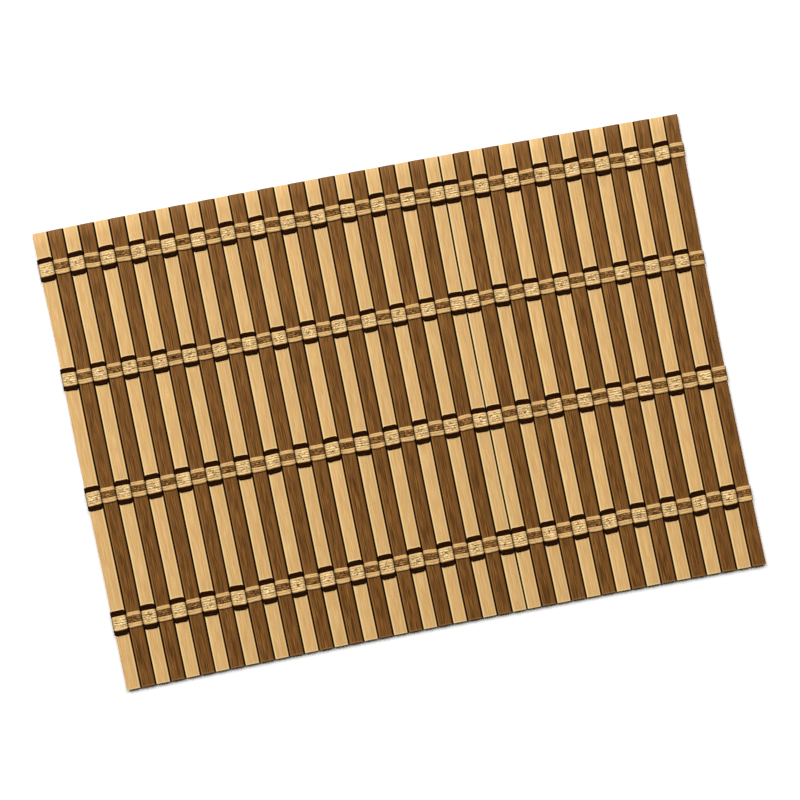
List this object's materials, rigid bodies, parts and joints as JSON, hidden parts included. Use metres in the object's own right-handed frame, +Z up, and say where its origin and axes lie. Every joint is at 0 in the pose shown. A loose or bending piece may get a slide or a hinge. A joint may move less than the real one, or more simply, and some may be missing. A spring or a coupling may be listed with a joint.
{
  "type": "bamboo placemat",
  "caption": "Oblong flat placemat of natural and browned bamboo slats side by side, held by woven bands of yarn.",
  "frame": {"origin": "middle of the bounding box at its underside, where the mat rests on the table", "axes": "+X along the long side, across the slats; +Y along the slats; +Z up, out of the plate side"},
  "size_m": [0.434, 0.3066, 0.0038],
  "materials": {
    "natural_bamboo": "natural split bamboo, planed, satin, fine straight grain",
    "browned_bamboo": "carbonised bamboo, planed, satin, fine straight grain",
    "natural_yarn": "plied natural yarn, matt and slightly fuzzy",
    "dark_yarn": "plied very dark brown yarn, matt"
  },
  "bodies": {
    "root": {"slat_01_natural": "natural_bamboo", "slat_02_browned": "browned_bamboo", "slat_03_natural": "natural_bamboo", "slat_04_browned": "browned_bamboo", "slat_05_natural": "natural_bamboo", "slat_06_browned": "browned_bamboo", "slat_07_natural": "natural_bamboo", "slat_08_browned": "browned_bamboo", "slat_09_natural": "natural_bamboo", "slat_10_browned": "browned_bamboo", "slat_11_natural": "natural_bamboo", "slat_12_browned": "browned_bamboo", "slat_13_natural": "natural_bamboo", "slat_14_browned": "browned_bamboo", "slat_15_natural": "natural_bamboo", "slat_16_browned": "browned_bamboo", "slat_17_natural": "natural_bamboo", "slat_18_browned": "browned_bamboo", "slat_19_natural": "natural_bamboo", "slat_20_browned": "browned_bamboo", "slat_21_natural": "natural_bamboo", "slat_22_browned": "browned_bamboo", "slat_23_natural": "natural_bamboo", "slat_24_browned": "browned_bamboo", "slat_25_natural": "natural_bamboo", "slat_26_browned": "browned_bamboo", "slat_27_natural": "natural_bamboo", "slat_28_natural": "natural_bamboo", "slat_29_browned": "browned_bamboo", "slat_30_natural": "natural_bamboo", "slat_31_browned": "browned_bamboo", "slat_32_natural": "natural_bamboo", "slat_33_browned": "browned_bamboo", "slat_34_natural": "natural_bamboo", "slat_35_browned": "browned_bamboo", "slat_36_natural": "natural_bamboo", "slat_37_browned": "browned_bamboo", "slat_38_natural": "natural_bamboo", "slat_39_browned": "browned_bamboo", "slat_40_natural": "natural_bamboo", "slat_41_browned": "browned_bamboo", "slat_42_natural": "natural_bamboo", "slat_43_browned": "browned_bamboo", "band_1_natural": "natural_yarn", "band_1_dark_upper": "dark_yarn", "band_1_dark_lower": "dark_yarn", "band_2_natural": "natural_yarn", "band_2_dark_upper": "dark_yarn", "band_2_dark_lower": "dark_yarn", "band_3_natural": "natural_yarn", "band_3_dark_upper": "dark_yarn", "band_3_dark_lower": "dark_yarn", "band_4_natural": "natural_yarn", "band_4_dark_upper": "dark_yarn", "band_4_dark_lower": "dark_yarn"}
  },
  "joints": []
}
